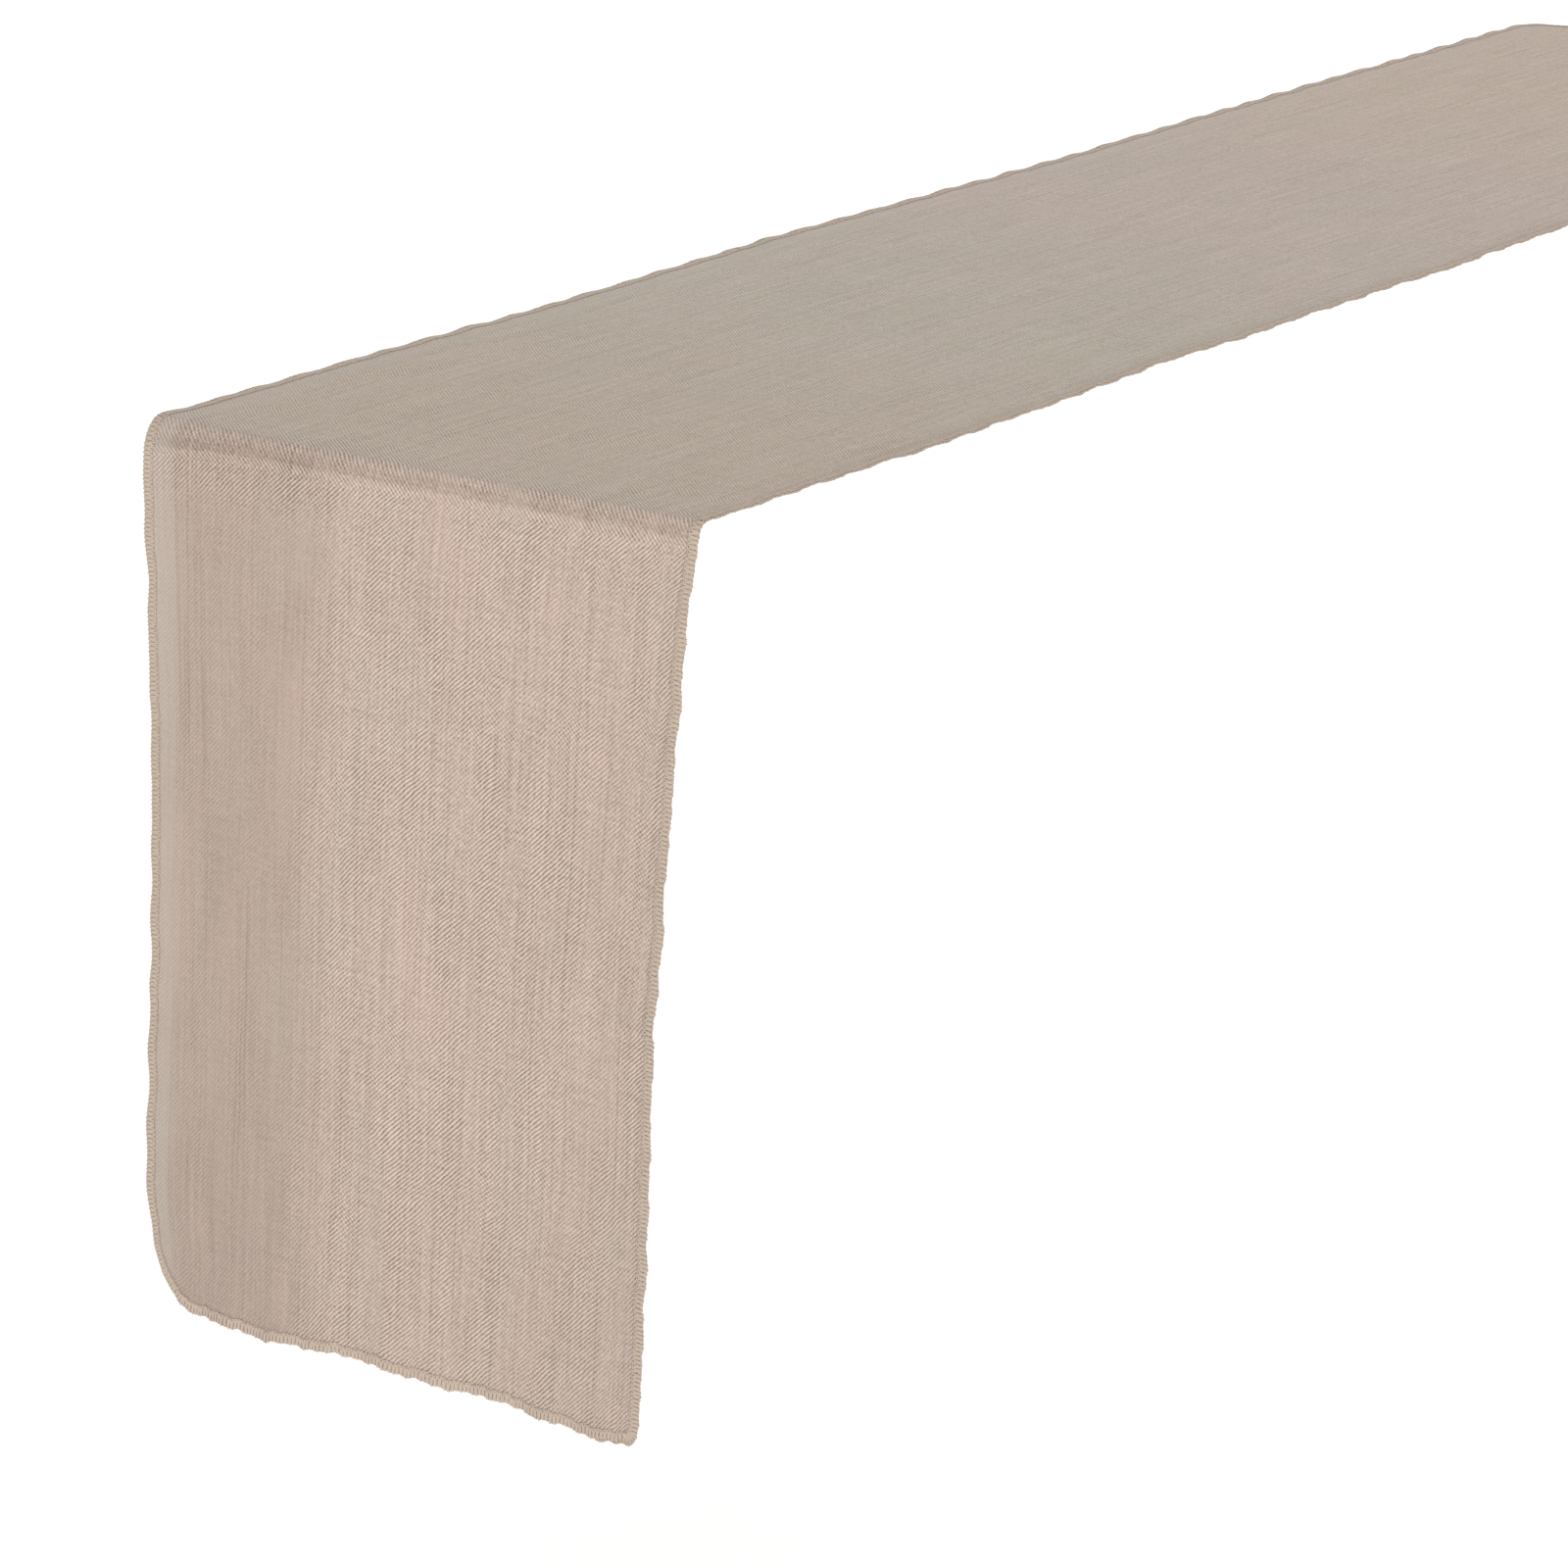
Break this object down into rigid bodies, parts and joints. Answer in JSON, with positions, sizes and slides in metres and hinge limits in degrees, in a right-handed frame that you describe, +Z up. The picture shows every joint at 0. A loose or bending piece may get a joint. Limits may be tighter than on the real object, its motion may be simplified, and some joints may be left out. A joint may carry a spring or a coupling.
{
  "type": "table runner",
  "caption": "Long narrow woven cloth strip with an overlocked edge, hanging over a table's end at one end and lying flat at the other.",
  "frame": {"origin": "on the cloth's underside, in the middle of the stretch that stays on the table", "axes": "+X along the runner towards its far end, +Y towards its left side seen from the hanging end, +Z up; the near end hangs at -X"},
  "size_m": [1.7645, 0.3556, 0.5292],
  "materials": {
    "cloth": "matte slubbed plain weave, blush taupe",
    "seam_thread": "spun overlock thread, cream beige"
  },
  "bodies": {
    "table_stretch": {"cloth_far_fold": "cloth", "cloth_near_fold": "cloth", "cloth_table_stretch": "cloth", "lower_looper_far_fold_left": "seam_thread", "lower_looper_far_fold_right": "seam_thread", "lower_looper_near_fold_left": "seam_thread", "lower_looper_near_fold_right": "seam_thread", "lower_looper_table_stretch_left": "seam_thread", "lower_looper_table_stretch_right": "seam_thread", "needle_thread_far_fold_left": "seam_thread", "needle_thread_far_fold_right": "seam_thread", "needle_thread_near_fold_left": "seam_thread", "needle_thread_near_fold_right": "seam_thread", "needle_thread_table_stretch_left": "seam_thread", "needle_thread_table_stretch_right": "seam_thread", "upper_looper_far_fold_left": "seam_thread", "upper_looper_far_fold_right": "seam_thread", "upper_looper_near_fold_left": "seam_thread", "upper_looper_near_fold_right": "seam_thread", "upper_looper_table_stretch_left": "seam_thread", "upper_looper_table_stretch_right": "seam_thread"},
    "near_drop": {"cloth_near_drop": "cloth", "lower_looper_near_drop_hem": "seam_thread", "lower_looper_near_drop_left": "seam_thread", "lower_looper_near_drop_right": "seam_thread", "needle_thread_near_drop_hem": "seam_thread", "needle_thread_near_drop_left": "seam_thread", "needle_thread_near_drop_right": "seam_thread", "thread_chain_tail": "seam_thread", "upper_looper_near_drop_hem": "seam_thread", "upper_looper_near_drop_left": "seam_thread", "upper_looper_near_drop_right": "seam_thread"},
    "far_end": {"cloth_far_end": "cloth", "lower_looper_far_end_hem": "seam_thread", "lower_looper_far_end_left": "seam_thread", "lower_looper_far_end_right": "seam_thread", "needle_thread_far_end_hem": "seam_thread", "needle_thread_far_end_left": "seam_thread", "needle_thread_far_end_right": "seam_thread", "upper_looper_far_end_hem": "seam_thread", "upper_looper_far_end_left": "seam_thread", "upper_looper_far_end_right": "seam_thread"}
  },
  "joints": [
    {"name": "near_drop_hinge", "type": "hinge", "parent": "table_stretch", "child": "near_drop", "pos_m": [-0.61647, 0, 0.0003], "axis": [0, 1, 0], "range_deg": [-10, 90], "deforming": ["cloth_near_fold", "lower_looper_near_fold_left", "lower_looper_near_fold_right", "needle_thread_near_fold_left", "needle_thread_near_fold_right", "upper_looper_near_fold_left", "upper_looper_near_fold_right"]},
    {"name": "far_fold_hinge", "type": "hinge", "parent": "table_stretch", "child": "far_end", "pos_m": [0.61398, 0, 0.004], "axis": [0, -1, 0], "range_deg": [0, 179], "deforming": ["cloth_far_fold", "lower_looper_far_fold_left", "lower_looper_far_fold_right", "needle_thread_far_fold_left", "needle_thread_far_fold_right", "upper_looper_far_fold_left", "upper_looper_far_fold_right"]}
  ]
}
